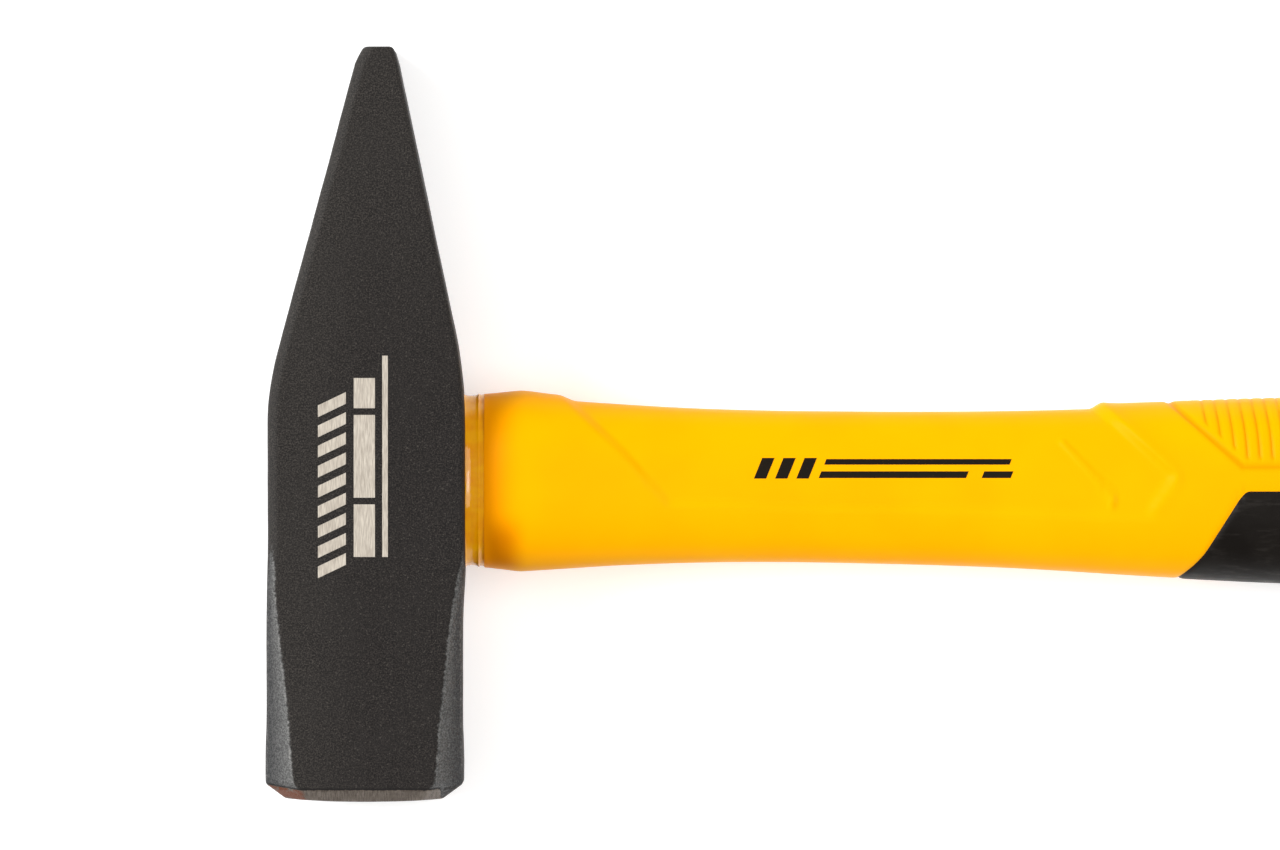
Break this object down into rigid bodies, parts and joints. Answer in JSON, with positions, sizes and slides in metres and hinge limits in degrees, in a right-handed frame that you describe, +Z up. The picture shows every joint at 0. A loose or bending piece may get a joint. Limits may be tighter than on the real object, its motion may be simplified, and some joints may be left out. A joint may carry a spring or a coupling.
{
  "type": "engineer's cross-peen hammer",
  "caption": "Steel cross-peen hammer with a chamfered square face, a wedge-shaped peen and a fibreglass handle in a hard jacket with a soft grip.",
  "frame": {"origin": "on the lower cheek of the head, under the middle of the eye", "axes": "+X along the handle to the butt, +Y towards the peen, +Z up out of the upper cheek"},
  "size_m": [0.3596, 0.135, 0.0354],
  "materials": {
    "forged_steel": "dark matt coating over forged steel",
    "fibreglass": "pultruded glass fibre in resin",
    "yellow_plastic": "smooth moulded, half gloss",
    "black_soft_grip": "fine matt texture",
    "eye_resin": "poured and set",
    "clear_collar": "clear, smooth"
  },
  "bodies": {
    "root": {"head": "forged_steel", "handle_core": "fibreglass", "handle_jacket": "yellow_plastic", "soft_grip": "black_soft_grip", "eye_resin": "eye_resin", "eye_collar": "clear_collar"}
  },
  "joints": []
}
